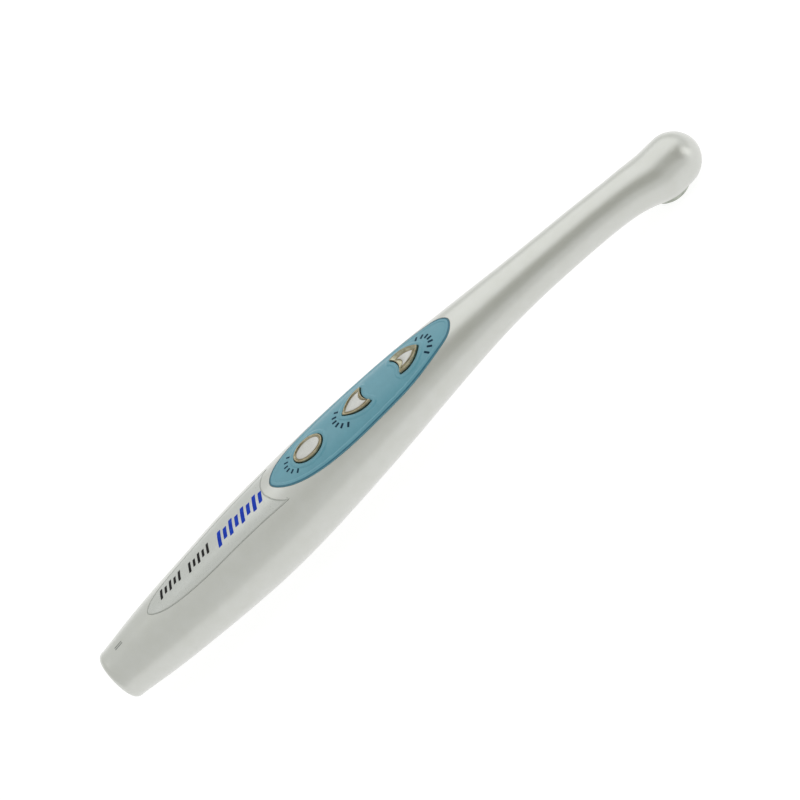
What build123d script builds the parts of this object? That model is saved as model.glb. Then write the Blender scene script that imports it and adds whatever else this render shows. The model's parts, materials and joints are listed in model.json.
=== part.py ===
"""Intraoral camera: a slim dental handpiece with a bent neck and a lens in the ball of its head.

Units are millimetres. +X runs from the tail to the head, +Z is the side with the buttons, and the
lens looks along -Z. The origin is the middle of the box's bottom face, so the handpiece lies on
Z = 0 with its belly and the rim of its lens window. Distances along the handpiece are counted
from the tail end and turned into row X by along().
"""

import os
from math import cos, radians, sin

from build123d import *

# Driving dimensions
LENGTH = 205.0
WALL = 1.6
HEAD_RADIUS = 7.6
HEAD_HEIGHT = 5.8
HEAD_AT = LENGTH - HEAD_RADIUS
CAP_LENGTH = 3.5
PARTING_DROP = 1.0

# The body's sections: distance from the tail, height of the centre, half height, half width
SECTIONS = [
    (CAP_LENGTH, 11.2, 7.8, 7.81),
    (12.5, 11.2, 8.9, 9.2),
    (25.0, 11.2, 9.9, 10.7),
    (37.5, 11.2, 10.7, 11.8),
    (50.0, 11.4, 11.4, 12.6),
    (62.5, 11.7, 11.45, 12.8),
    (75.0, 12.2, 11.15, 12.5),
    (87.5, 12.7, 10.6, 11.9),
    (100.0, 13.2, 9.85, 11.1),
    (112.5, 13.6, 8.95, 10.0),
    (125.0, 13.7, 7.95, 8.75),
    (137.5, 13.4, 7.0, 7.6),
    (150.0, 12.6, 6.4, 6.8),
    (162.5, 11.5, 6.15, 6.4),
    (175.0, 10.1, 6.05, 6.2),
    (181.0, 9.1, 6.2, 6.3),
    (187.0, 7.5, 6.85, 6.9),
    (192.5, HEAD_HEIGHT, HEAD_RADIUS, HEAD_RADIUS),
    (HEAD_AT, HEAD_HEIGHT, HEAD_RADIUS, HEAD_RADIUS),
]

# Control panel and label film
PANEL_DEPTH = 0.8
PANEL_GAP = 0.1
FILM_DEPTH = 0.15
FILM_GAP = 0.08
PANEL_HALF = [(65.2, 0), (65.9, 1.7), (67.4, 3.3), (70.0, 4.95), (75.0, 6.6), (82.0, 7.55)]
PANEL_HALF += [(90.0, 7.8), (100.0, 7.55), (109.0, 6.95), (116.0, 5.85), (121.0, 4.75)]
PANEL_HALF += [(124.5, 3.65), (126.6, 2.1), (127.6, 0)]
FILM_HALF = [(18.9, 0), (20.4, 1.95), (23.5, 3.45), (28.0, 4.5), (36.0, 5.4), (43.0, 5.8)]
FILM_HALF += [(51.0, 6.1), (58.0, 6.35), (67.0, 6.8)]
FILM_FRONT = 62.6

# Buttons: name, distance of the stem from the tail, height over the panel, top of the flange
BUTTONS = [
    ("power", 78.85, 0.3, 20.3),
    ("mirror", 95.6, 0.3, 20.3),
    ("capture", 113.0, 0.45, 19.6),
]
POWER_AT = 78.85
MIRROR_TIP = 91.1
CAPTURE_TIP = 117.3
OGIVE_LENGTH = 8.1
OGIVE_HALF = 2.87
OGIVE_NOTCH = 1.2
OGIVE_WAIST = (3.9, 2.66)
OGIVE_CORNER = 0.35
POWER_SIZE = (4.65, 3.05)
BUTTON_RIM = 0.75
BUTTON_GAP = 0.2
RIM_EDGE = 0.3
CAP_THICK = 1.1
CAP_SUNK = 0.1
CAP_EDGE = 0.12
FLANGE_THICK = 0.7
FLANGE_REACH = 0.7
STEM_RADIUS = 1.5

# Main board and the switches on it
BOARD_BOTTOM = 13.5
BOARD_THICK = 1.0
BOARD_TOP = BOARD_BOTTOM + BOARD_THICK
BOARD_START = 24.0
BOARD_END = 128.4
BOARD_HALF_WIDTH = 6.1
SWITCH_SIDE = 4.5
SWITCH_HEIGHT = 2.2
PLUNGER_RADIUS = 1.1
PLUNGER_TOP = BOARD_TOP + 3.2
PLUNGER_WELL = 1.2
SHELL_SCREWS = (33.0, 68.6, 121.5)
BOARD_SCREWS = (50.0, 103.2)
UPPER_POST = 2.8
LOWER_POST = 2.4
BOARD_POST = 2.2
THREAD_DEPTH = 5.0
SCREW_RADIUS = 0.95
HOLE_RADIUS = 1.05
SCREW_HEAD_RADIUS = 1.8
SCREW_HEAD_HEIGHT = 1.3
SCREW_REACH = 4.5
RECESS = (2.0, 0.45, 0.7)
SEAT_DEPTH = 3.4

# Parts on the main board: distance from the tail, length, width, height
PROCESSOR = (86.1, 7.0, 7.0, 1.2)
ENCODER = (59.0, 6.0, 5.0, 1.1)
CRYSTAL = (42.0, 10.0, 4.4, 3.4)
CONNECTOR = (126.3, 3.4, 7.0, 1.8)
CONNECTOR_SLOT = (126.9, 2.4, 4.2, 0.4)
SLOT_HEIGHT = 0.7
HEADER = (27.4, 4.0, 8.0, 3.0)
CAPACITOR = (2.0, 1.25, 0.9)
CAPACITORS_AT = (55.0, 64.5, 82.0, 90.0, 100.0)
CAPACITOR_SIDE = 4.4
WIRE_ROWS = (-3.0, -1.0, 1.0, 3.0)
WIRE_HEIGHT = BOARD_TOP + 1.5
WIRE_RADIUS = 0.4

# Lens window and what stands over it, on one vertical axis
WINDOW_AT = 192.9
RIM_RADIUS = 6.0
RIM_HEIGHT = 1.15
NECK_RADIUS = 5.2
HEAD_FLOOR = 1.25
BOWL_RADIUS = 6.2
GLASS_RADIUS = 4.9
GLASS_THICK = 1.0
GLASS_LOW = 0.3
GASKET_THICK = 0.3
RIM_ROUNDING = 0.5
RIM_TOP = 2.4
LEDGE_RADIUS = 4.3
BARREL_RADIUS = 2.2
LENS_RADIUS = 1.7
LED_COUNT = 6
LED_RING = 3.3
LED_BOARD = (2.6, 3.2)
LED_BOARD_RADIUS = 4.4
LED_SIDE = 1.0
LED_HEIGHT = 0.5
LEAD_SIDE = 3.65
LEAD_RADIUS = 0.2

# Optics over the window: heights from the surface the handpiece lies on
BARREL = (1.8, 6.2)
LENS_THICK = 1.0
LENSES = [("front_lens", 2.1, 4.5), ("rear_lens", 4.2, 3.6)]
FILTER = (5.6, 5.9)
HOLDER = (3.9, 8.0)
HOLDER_SIZE = (6.0, 6.4)
SENSOR = (7.1, 8.0)
SENSOR_SIDE = 4.6
SENSOR_BOARD = (8.0, 8.8)
SENSOR_BOARD_SIZE = (6.0, 7.8)
FLEX_THICK = 0.25
FLEX_HALF = 2.0
FLEX_RUN = [(194.0, 8.82), (190.0, 8.95), (184.0, 9.6), (175.0, 10.4), (162.5, 11.6), (150.0, 12.8)]
FLEX_RUN += [(137.5, 14.2), (130.0, 15.2), (126.0, 15.25)]

# Socket in the tail
SOCKET_RADIUS = 5.6
SHIELD_RADIUS = 5.3
SHIELD_BORE = 4.9
POST_RADIUS = 3.9
SPIGOT_RADIUS = 6.0
SPIGOT_END = 10.0
TAIL_ROUNDING = 2.0
AXIS_HEIGHT = SECTIONS[0][1]
POST_START = 4.2
SOCKET_FLOOR = 8.0
SOCKET_END = SPIGOT_END + 1
KEY_SIZE = (4.4, 2.2, 1.2)
PIN_RING = 2.2
PIN_RADIUS = 0.5
PIN_START = 5.2
PIN_END = 13.0
PIN_WALL = 0.1

os.makedirs("parts", exist_ok=True)


def along(distance):
    """Row X of a point at this distance from the tail end."""
    return distance - LENGTH / 2


def save(name, shape):
    """Write one node."""
    export_step(shape, f"parts/{name}.step")


def between(distance, column):
    """One column of SECTIONS, read between its rows."""
    for rear, front in zip(SECTIONS, SECTIONS[1:]):
        if distance <= front[0]:
            share = (distance - rear[0]) / (front[0] - rear[0])
            return rear[column] + share * (front[column] - rear[column])
    return SECTIONS[-1][column]


def roof(distance):
    """Height of the outer surface on the centre line."""
    return between(distance, 1) + between(distance, 2)


def block(distance, y, low, size_x, size_y, height):
    """A box centred on this distance and y, standing on the height low."""
    centre = Pos(along(distance), y, low)
    return centre * Box(size_x, size_y, height, align=(Align.CENTER, Align.CENTER, Align.MIN))


def post(distance, y, low, high, radius):
    """An upright cylinder from the height low to high."""
    centre = Pos(along(distance), y, low)
    return centre * Cylinder(radius, high - low, align=(Align.CENTER, Align.CENTER, Align.MIN))


def rod(start, end, radius, y=0, height=AXIS_HEIGHT):
    """A cylinder along X between two distances from the tail."""
    plane = Plane(origin=(along(start), y, height), x_dir=(0, 1, 0), z_dir=(1, 0, 0))
    return plane * Cylinder(radius, end - start, align=(Align.CENTER, Align.CENTER, Align.MIN))


def tube(start, end, outer, inner):
    """A rod with a bore."""
    return rod(start, end, outer) - rod(start, end, inner)


def upright(outline, low=-5.0, high=40.0):
    """A flat outline drawn up between two heights."""
    return Pos(0, 0, low) * extrude(outline, high - low)


def body_form(inset):
    """The whole outer form, drawn in by inset all round and closed by the ball of the head."""
    rings = []
    for distance, height, half_height, half_width in SECTIONS:
        origin = (along(distance), 0, height)
        plane = Plane(origin=origin, x_dir=(0, 1, 0), z_dir=(1, 0, 0))
        rings.append(plane * Ellipse(half_width - inset, half_height - inset))
    radius = HEAD_RADIUS - inset
    half_space = Pos(radius, 0, 0) * Box(2 * radius, 4 * radius, 4 * radius)
    dome = Pos(along(HEAD_AT), 0, HEAD_HEIGHT) * (Sphere(radius) & half_space)
    return loft(rings) + dome - underside(inset * HEAD_FLOOR / WALL)


def underside(raised):
    """What is cut off under the head: a flat round the window, curving up towards the tip."""
    level = RIM_HEIGHT + raised
    flat = block(WINDOW_AT, 0, -20, 30, 30, 20 + level)
    centre = (WINDOW_AT + RIM_RADIUS, RIM_HEIGHT + BOWL_RADIUS)
    reach = BOWL_RADIUS - raised
    arc = CenterArc((along(centre[0]), centre[1]), reach, -90, 90)
    corner = (along(centre[0]) + 20, -20)
    rest = Polyline(arc @ 1, (corner[0], centre[1]), corner, (along(centre[0]), -20), arc @ 0)
    profile = Plane.XZ * make_face([arc, rest])
    axis = Axis((along(WINDOW_AT), 0, 0), (0, 0, 1))
    bowl = revolve(profile, axis, 360)
    tip_side = Pos(along(WINDOW_AT) + 20, 0, 0) * Box(40, 40, 80)
    return flat + (bowl & tip_side)


def above_parting():
    """The space over the line where the two shells meet, a little under the widest line."""
    line = [(along(row[0]), row[1] - PARTING_DROP) for row in SECTIONS]
    curve = Spline(*line)
    front = (along(LENGTH) + 10, HEAD_HEIGHT - PARTING_DROP)
    rear = (along(0) - 10, AXIS_HEIGHT - PARTING_DROP)
    edge = Polyline(curve @ 1, front, (front[0], 40), (rear[0], 40), rear, curve @ 0)
    return extrude(Plane.XZ * make_face([curve, edge]), 40, both=True)


def drawn_in(half, gap):
    """Half an outline in row X and Y, drawn in towards its middle by a small gap."""
    middle = (half[0][0] + half[-1][0]) / 2
    shrink_x = 1 - 2 * gap / abs(half[-1][0] - half[0][0])
    shrink_y = 1 - gap / max(y for _, y in half)
    return [(along(middle + (x - middle) * shrink_x), y * shrink_y) for x, y in half]


def panel_outline(gap=0):
    """The control panel in plan: a leaf, blunt at the tail and pointed at the head."""
    near = drawn_in(PANEL_HALF, gap)
    far = [(x, -y) for x, y in reversed(near[1:-1])]
    return make_face(Spline(*near, *far, periodic=True))


def film_outline(gap=0):
    """The label film in plan, hollowed out at the front beside the panel."""
    near = drawn_in(FILM_HALF, gap)
    far = [(x, -y) for x, y in reversed(near)]
    edge = Spline(*far, *near[1:])
    front = ThreePointArc(edge @ 1, (along(FILM_FRONT) - gap, 0), edge @ 0)
    return make_face([edge, front])


def oval_outline(grow):
    """The power button in plan, made larger all round by grow."""
    return Pos(along(POWER_AT), 0) * Ellipse(POWER_SIZE[0] + grow, POWER_SIZE[1] + grow)


def ogive_outline(tip, way, grow):
    """A pointed arch with a hollow foot; way is +1 where the foot looks to the head."""
    foot = tip + way * (OGIVE_LENGTH + grow)
    point = (along(tip - way * 1.25 * grow), 0)
    horns = [(along(foot), side * (OGIVE_HALF + grow)) for side in (1, -1)]
    waist = [(along(tip + way * OGIVE_WAIST[0]), side * (OGIVE_WAIST[1] + grow)) for side in (1, -1)]
    hollow = (along(foot - way * OGIVE_NOTCH), 0)
    arcs = [
        ThreePointArc(point, waist[0], horns[0]),
        ThreePointArc(horns[0], hollow, horns[1]),
        ThreePointArc(horns[1], waist[1], point),
    ]
    face = make_face(arcs)
    return fillet(face.vertices(), OGIVE_CORNER)


def button_outline(name, grow=0):
    """The outline of one of the three buttons."""
    if name == "power":
        return oval_outline(grow)
    if name == "mirror":
        return ogive_outline(MIRROR_TIP, 1, grow)
    return ogive_outline(CAPTURE_TIP, -1, grow)


outer = body_form(0)
under_panel = body_form(PANEL_DEPTH)
under_film = body_form(FILM_DEPTH)
skin = outer - body_form(WALL)
over = above_parting()


def make_shells():
    """The two halves of the body with their screw posts, pockets and openings."""
    upper = skin & over
    lower = skin - over
    inside = body_form(WALL / 2)
    for at in SHELL_SCREWS:
        upper += post(at, 0, BOARD_TOP, 40, UPPER_POST) & inside
        lower += post(at, 0, -5, BOARD_BOTTOM, LOWER_POST) & inside
    for at in BOARD_SCREWS:
        lower += post(at, 0, -5, BOARD_BOTTOM, BOARD_POST) & inside
    for at in SHELL_SCREWS:
        seat = roof(at) - SEAT_DEPTH
        upper -= post(at, 0, seat, 40, SCREW_HEAD_RADIUS + 0.15)
        upper -= post(at, 0, BOARD_TOP - 1, 40, HOLE_RADIUS)
        lower -= post(at, 0, BOARD_BOTTOM - THREAD_DEPTH, BOARD_BOTTOM + 1, SCREW_RADIUS)
    for at in BOARD_SCREWS:
        lower -= post(at, 0, BOARD_BOTTOM - THREAD_DEPTH, BOARD_BOTTOM + 1, SCREW_RADIUS)
    for name, _, _, _ in BUTTONS:
        upper -= upright(button_outline(name, BUTTON_GAP), 18)
    upper -= upright(panel_outline(), 15) - under_panel
    upper -= upright(film_outline(), 15) - under_film
    lower -= post(WINDOW_AT, 0, -5, HEAD_HEIGHT, NECK_RADIUS)
    save("upper_shell", upper)
    save("lower_shell", lower)


def make_skins():
    """The blue control panel and the label film, each in its pocket."""
    panel = upright(panel_outline(PANEL_GAP), 15) & outer
    panel -= under_panel
    for name, _, _, _ in BUTTONS:
        panel -= upright(button_outline(name, BUTTON_GAP), 15)
    save("control_panel", panel)
    film = upright(film_outline(FILM_GAP), 15) & outer
    save("label_film", film - under_film)


def make_button(name, at, proud, flange_top):
    """A plated frame with a flange and a stem, a pearl cap set into it, and its switch."""
    top = roof(at) + proud
    flange_low = flange_top - FLANGE_THICK
    frame = upright(button_outline(name), flange_top, top)
    frame = fillet(frame.faces().sort_by(Axis.Z)[-1].edges(), RIM_EDGE)
    frame += upright(button_outline(name, FLANGE_REACH), flange_low, flange_top)
    frame += post(at, 0, PLUNGER_TOP, flange_low, STEM_RADIUS)
    seat = button_outline(name, -BUTTON_RIM)
    cap_low = top - CAP_SUNK - CAP_THICK
    cap = upright(seat, cap_low, top - CAP_SUNK)
    cap = fillet(cap.faces().sort_by(Axis.Z)[-1].edges(), CAP_EDGE)
    frame -= upright(seat, cap_low, top + 1)
    save(f"{name}_button_frame", frame)
    save(f"{name}_button_cap", cap)
    case_top = BOARD_TOP + SWITCH_HEIGHT
    case = block(at, 0, BOARD_TOP, SWITCH_SIDE, SWITCH_SIDE, SWITCH_HEIGHT)
    case -= post(at, 0, case_top - PLUNGER_WELL, case_top + 1, PLUNGER_RADIUS + 0.1)
    save(f"{name}_switch_case", case)
    plunger_low = case_top - PLUNGER_WELL / 2
    save(f"{name}_switch_plunger", post(at, 0, plunger_low, PLUNGER_TOP, PLUNGER_RADIUS))


def make_board():
    """The main board and what is soldered and screwed to it."""
    middle = (BOARD_START + BOARD_END) / 2
    board = block(middle, 0, BOARD_BOTTOM, BOARD_END - BOARD_START, 2 * BOARD_HALF_WIDTH, BOARD_THICK)
    board = fillet(board.edges().filter_by(Axis.Z), 2)
    for at in SHELL_SCREWS + BOARD_SCREWS:
        board -= post(at, 0, BOARD_BOTTOM - 1, BOARD_TOP + 1, HOLE_RADIUS)
    save("main_board", board)
    for name, (at, length, width, height) in (("video_processor", PROCESSOR), ("video_encoder", ENCODER)):
        chip = block(at, 0, BOARD_TOP, length, width, height)
        save(name, chamfer(chip.faces().sort_by(Axis.Z)[-1].edges(), 0.2))
    at, length, width, height = CRYSTAL
    crystal = block(at, 0, BOARD_TOP, length, width, height)
    crystal = fillet(crystal.edges().filter_by(Axis.Z), width / 2 - 0.1)
    save("crystal", fillet(crystal.faces().sort_by(Axis.Z)[-1].edges(), 0.5))
    spots = [(at, side * CAPACITOR_SIDE) for at in CAPACITORS_AT for side in (1, -1)]
    capacitors = [block(at, y, BOARD_TOP, *CAPACITOR) for at, y in spots]
    save("chip_capacitors", Compound(children=capacitors))
    at, length, width, height = CONNECTOR
    slot_at, slot_length, slot_width, slot_height = CONNECTOR_SLOT
    connector = block(at, 0, BOARD_TOP, length, width, height)
    connector -= block(slot_at, 0, BOARD_TOP + SLOT_HEIGHT, slot_length, slot_width, slot_height)
    save("ffc_connector", connector)
    at, length, width, height = HEADER
    header = block(at, 0, BOARD_TOP, length, width, height)
    for y in WIRE_ROWS:
        header -= rod(at - length, at + 0.6, WIRE_RADIUS + 0.05, y, WIRE_HEIGHT)
    save("wire_header", header)


def screw(at, seat, tip):
    """A pan-head screw, head up, with a cross recess."""
    body = post(at, 0, seat, seat + SCREW_HEAD_HEIGHT, SCREW_HEAD_RADIUS)
    body = fillet(body.faces().sort_by(Axis.Z)[-1].edges(), 0.5)
    body += post(at, 0, tip, seat, SCREW_RADIUS)
    length, width, depth = RECESS
    recess = seat + SCREW_HEAD_HEIGHT - depth
    body -= block(at, 0, recess, length, width, 2)
    body -= block(at, 0, recess, width, length, 2)
    return body


def make_screws():
    """Two screws hold the board, and three under the film and the panel hold the shells."""
    tip = BOARD_BOTTOM - SCREW_REACH
    board_screws = [screw(at, BOARD_TOP, tip) for at in BOARD_SCREWS]
    shell_screws = [screw(at, roof(at) - SEAT_DEPTH, tip) for at in SHELL_SCREWS]
    save("board_screws", Compound(children=board_screws))
    save("shell_screws", Compound(children=shell_screws))


def make_tail():
    """The end cap and the round multi-pin socket in it, with its wires to the board."""
    cap = rod(0, CAP_LENGTH, SECTIONS[0][2])
    cap = fillet(cap.faces().sort_by(Axis.X)[0].edges(), TAIL_ROUNDING)
    cap += rod(CAP_LENGTH, SPIGOT_END, SPIGOT_RADIUS)
    cap -= rod(-1, CAP_LENGTH, SOCKET_RADIUS)
    cap -= rod(0, SOCKET_END, SHIELD_RADIUS)
    save("tail_cap", cap)
    save("socket_shield", tube(CAP_LENGTH, SOCKET_END, SHIELD_RADIUS, SHIELD_BORE))
    socket = rod(SOCKET_FLOOR, SOCKET_END, SHIELD_BORE) + rod(POST_START, SOCKET_FLOOR, POST_RADIUS)
    contacts = []
    wires = []
    outer_radius = PIN_RADIUS + PIN_WALL
    for row, angle in zip(WIRE_ROWS, (45, 135, 225, 315)):
        y = PIN_RING * cos(radians(angle))
        height = AXIS_HEIGHT + PIN_RING * sin(radians(angle))
        socket -= rod(0, 20, outer_radius, y, height)
        contact = rod(PIN_START, PIN_END, outer_radius, y, height)
        contact -= rod(PIN_START - 1, PIN_END - 1.5, PIN_RADIUS - PIN_WALL, y, height)
        contacts.append(contact)
        wires.append(socket_wire(y, height, row))
    key_length, key_width, key_depth = KEY_SIZE
    key_low = AXIS_HEIGHT + POST_RADIUS - key_depth
    key = block(POST_START + 1.8, 0, key_low, key_length, key_width, 2)
    save("socket_block", socket - key)
    save("socket_contacts", Compound(children=contacts))
    save("socket_wires", Compound(children=wires))


def socket_wire(y, height, row):
    """One wire from a contact to its place in the header."""
    header_face = HEADER[0] - HEADER[1] / 2
    ends = [(along(PIN_END), y, height), (along(PIN_END + 3), y, height)]
    ends += [(along(header_face - 2.9), row, WIRE_HEIGHT), (along(header_face), row, WIRE_HEIGHT)]
    path = FilletPolyline(*ends, radius=1.2)
    start = Plane(origin=ends[0], z_dir=(1, 0, 0))
    return sweep(start * Circle(WIRE_RADIUS), path=path)


def make_window():
    """The rim, glass, gasket and ring of lights in the underside of the head."""
    rim = post(WINDOW_AT, 0, 0, RIM_HEIGHT, RIM_RADIUS)
    rim = fillet(rim.faces().sort_by(Axis.Z)[0].edges(), RIM_ROUNDING)
    rim += post(WINDOW_AT, 0, RIM_HEIGHT, RIM_TOP, NECK_RADIUS)
    glass_high = GLASS_LOW + GLASS_THICK
    gasket_high = glass_high + GASKET_THICK
    rim -= post(WINDOW_AT, 0, -1, gasket_high, GLASS_RADIUS)
    rim -= post(WINDOW_AT, 0, 0, 3, LEDGE_RADIUS)
    save("window_bezel", rim)
    glass = post(WINDOW_AT, 0, GLASS_LOW, glass_high, GLASS_RADIUS)
    save("window_glass", chamfer(glass.faces().sort_by(Axis.Z)[0].edges(), 0.15))
    ring = post(WINDOW_AT, 0, glass_high, gasket_high, GLASS_RADIUS)
    save("window_gasket", ring - post(WINDOW_AT, 0, 0, 5, LEDGE_RADIUS))
    board = post(WINDOW_AT, 0, *LED_BOARD, LED_BOARD_RADIUS)
    save("led_board", board - post(WINDOW_AT, 0, 0, 5, BARREL_RADIUS + 0.1))
    leds = []
    for step in range(LED_COUNT):
        turn = radians(30 + 360 * step / LED_COUNT)
        at = WINDOW_AT + LED_RING * cos(turn)
        low = LED_BOARD[0] - LED_HEIGHT
        leds.append(block(at, LED_RING * sin(turn), low, LED_SIDE, LED_SIDE, LED_HEIGHT))
    leads = [
        post(WINDOW_AT, side * LEAD_SIDE, LED_BOARD[1], SENSOR_BOARD[0], LEAD_RADIUS) for side in (1, -1)
    ]
    save("leds", Compound(children=leds))
    save("led_leads", Compound(children=leads))


def make_optics():
    """The lens barrel in its holder, and the image sensor over it."""
    barrel = post(WINDOW_AT, 0, *BARREL, BARREL_RADIUS)
    save("lens_barrel", barrel - post(WINDOW_AT, 0, 0, 7, LENS_RADIUS))
    for name, low, bulge in LENSES:
        disc = post(WINDOW_AT, 0, low, low + LENS_THICK, LENS_RADIUS)
        ball = Pos(along(WINDOW_AT), 0, low + bulge) * Sphere(bulge)
        save(name, disc & ball)
    save("ir_filter", post(WINDOW_AT, 0, *FILTER, LENS_RADIUS))
    holder = block(WINDOW_AT, 0, HOLDER[0], *HOLDER_SIZE, HOLDER[1] - HOLDER[0])
    holder -= post(WINDOW_AT, 0, 3, BARREL[1], BARREL_RADIUS)
    holder -= block(WINDOW_AT, 0, BARREL[1], 5, 5, 3)
    save("lens_holder", holder)
    sensor = block(WINDOW_AT, 0, SENSOR[0], SENSOR_SIDE, SENSOR_SIDE, SENSOR[1] - SENSOR[0])
    save("image_sensor", sensor)
    board_thick = SENSOR_BOARD[1] - SENSOR_BOARD[0]
    save("sensor_board", block(WINDOW_AT, 0, SENSOR_BOARD[0], *SENSOR_BOARD_SIZE, board_thick))


def make_flex():
    """The flat flex from the sensor board through the neck to the main board."""
    low = [(along(x), z) for x, z in FLEX_RUN]
    high = [(x, z + FLEX_THICK) for x, z in low]
    under = Spline(*low)
    upper = Spline(*reversed(high))
    ends = [Line(under @ 1, upper @ 0), Line(upper @ 1, under @ 0)]
    band = Plane.XZ * make_face([under, ends[0], upper, ends[1]])
    save("head_flex", extrude(band, FLEX_HALF, both=True))


make_shells()
make_skins()
for button in BUTTONS:
    make_button(*button)
make_board()
make_screws()
make_tail()
make_window()
make_optics()
make_flex()
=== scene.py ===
"""Looks of the intraoral camera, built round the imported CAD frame. Sizes are in millimetres."""

import json
import math

import bmesh
import bpy
import numpy as np
from mathutils import Matrix, Vector, geometry


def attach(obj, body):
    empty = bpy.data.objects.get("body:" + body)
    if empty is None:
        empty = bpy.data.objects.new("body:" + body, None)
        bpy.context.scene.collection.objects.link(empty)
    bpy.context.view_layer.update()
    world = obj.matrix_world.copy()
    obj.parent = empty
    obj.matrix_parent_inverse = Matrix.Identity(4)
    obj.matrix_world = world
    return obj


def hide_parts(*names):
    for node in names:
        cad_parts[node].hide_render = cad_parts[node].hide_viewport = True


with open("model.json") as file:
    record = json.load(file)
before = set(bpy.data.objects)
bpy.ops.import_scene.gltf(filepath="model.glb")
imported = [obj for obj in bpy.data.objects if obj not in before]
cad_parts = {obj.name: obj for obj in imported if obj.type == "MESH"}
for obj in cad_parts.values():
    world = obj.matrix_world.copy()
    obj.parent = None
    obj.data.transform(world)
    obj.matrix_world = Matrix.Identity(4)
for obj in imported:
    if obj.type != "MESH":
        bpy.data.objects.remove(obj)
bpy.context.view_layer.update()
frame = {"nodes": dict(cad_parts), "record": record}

MM = 0.001
TURN = 2 * math.pi
LAP = 400
BUTTON_POINTS = 132
QUARTER = math.pi / 2

# Body form, as in the CAD: distance from the tail, centre height, half height, half width
LENGTH = 205.0
HEAD_RADIUS = 7.6
HEAD_HEIGHT = 5.8
HEAD_AT = LENGTH - HEAD_RADIUS
TIP = HEAD_AT + HEAD_RADIUS * QUARTER
CAP_LENGTH = 3.5
SECTIONS = [
    (CAP_LENGTH, 11.2, 7.8, 7.81),
    (12.5, 11.2, 8.9, 9.2),
    (25.0, 11.2, 9.9, 10.7),
    (37.5, 11.2, 10.7, 11.8),
    (50.0, 11.4, 11.4, 12.6),
    (62.5, 11.7, 11.45, 12.8),
    (75.0, 12.2, 11.15, 12.5),
    (87.5, 12.7, 10.6, 11.9),
    (100.0, 13.2, 9.85, 11.1),
    (112.5, 13.6, 8.95, 10.0),
    (125.0, 13.7, 7.95, 8.75),
    (137.5, 13.4, 7.0, 7.6),
    (150.0, 12.6, 6.4, 6.8),
    (162.5, 11.5, 6.15, 6.4),
    (175.0, 10.1, 6.05, 6.2),
    (181.0, 9.1, 6.2, 6.3),
    (187.0, 7.5, 6.85, 6.9),
    (192.5, HEAD_HEIGHT, HEAD_RADIUS, HEAD_RADIUS),
    (195.0, HEAD_HEIGHT, HEAD_RADIUS, HEAD_RADIUS),
    (HEAD_AT, HEAD_HEIGHT, HEAD_RADIUS, HEAD_RADIUS),
]
WALL = 1.6
PARTING_DROP = 1.0
HEAD_START = 178.0
PARTING_END = 191.0
WINDOW_AT = 192.9
WINDOW_HOLE = 5.2
RIM_RADIUS = 6.0
RIM_HEIGHT = 1.15
BOWL_RADIUS = 6.35
FLOOR_BLEND = 0.25
FLOOR_INSET = 1.25 / WALL

# Outlines in plan
PANEL_HALF = [(65.2, 0), (65.9, 1.7), (67.4, 3.3), (70.0, 4.95), (75.0, 6.6), (82.0, 7.55)]
PANEL_HALF += [(90.0, 7.8), (100.0, 7.55), (109.0, 6.95), (116.0, 5.85), (121.0, 4.75)]
PANEL_HALF += [(124.5, 3.65), (126.6, 2.1), (127.6, 0)]
FILM_HALF = [(18.9, 0), (20.4, 1.95), (23.5, 3.45), (28.0, 4.5), (36.0, 5.4), (43.0, 5.8)]
FILM_HALF += [(51.0, 6.1), (58.0, 6.35), (67.0, 6.8)]
FILM_FRONT = 62.6
PANEL_DEPTH = 0.8
PANEL_GAP = 0.1
PANEL_LIP = 0.12
BORDER_STEP = (0.9, 1.3)
PAD_STEP = (1.15, 1.6)
FIELD_DROP = 0.18
MOAT_STEP = (0.1, 0.5)
MOAT_DROP = 0.06
FILM_DEPTH = 0.15
FILM_GAP = 0.08
FILM_LIP = 0.07
FILM_SUNK = 0.02

# Buttons: name, distance of the stem from the tail, height over the panel, top of the flange
BUTTONS = [("power", 78.85, 0.25, 20.3), ("mirror", 95.6, 0.25, 20.3), ("capture", 113.0, 0.4, 19.6)]
POWER_AT = BUTTONS[0][1]
MIRROR_TIP = 91.1
CAPTURE_TIP = 117.3
POWER_SIZE = (4.65, 3.05)
OGIVE_LENGTH = 8.1
OGIVE_HALF = 2.87
OGIVE_NOTCH = 1.2
OGIVE_WAIST = (3.9, 2.66)
BUTTON_GAP = 0.2

# Inside a button's rim: width of the rim and of the slope in it, and how deep the slope goes down
BUTTON_SHAPES = {"power": (0.42, 0.4, 0.2), "mirror": (0.42, 0.4, 0.2), "capture": (0.26, 1.1, 0.42)}
RIM_ROUNDING = 0.2
BEAD_WIDTH = 0.22
BEAD_HEIGHT = 0.1
CAP_CROWN = 0.2
STEM_RADIUS = 1.5
FLANGE_THICK = 0.7
FLANGE_REACH = 0.7

# Screws, their posts and the board between them
BOARD_BOTTOM = 13.5
BOARD_TOP = 14.5
PLUNGER_TOP = 17.7
SHELL_SCREWS = (33.0, 68.6, 121.5)
BOARD_SCREWS = (50.0, 103.2)
SCREW_BORE = 1.95
SHANK_HOLE = 1.05
THREAD_HOLE = 0.95
UPPER_POST = 2.8
LOWER_POST = 2.4
BOARD_POST = 2.2
POST_OVERLAP = 0.1
SEAT_DEPTH = 3.4

# Tail cap and window rim
AXIS_HEIGHT = 11.2
TAIL_ROUNDING = 1.8
SOCKET_RADIUS = 5.6
SOCKET_EDGE = 0.25
SHIELD_RADIUS = 5.3
SPIGOT_RADIUS = 6.0
SPIGOT_END = 10.0
RIM_EDGE = 0.5
RIM_TOP = 2.4
GLASS_RADIUS = 4.9
GLASS_SEAT = 1.6
LEDGE_RADIUS = 4.3


# ---- the form of the body


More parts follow.
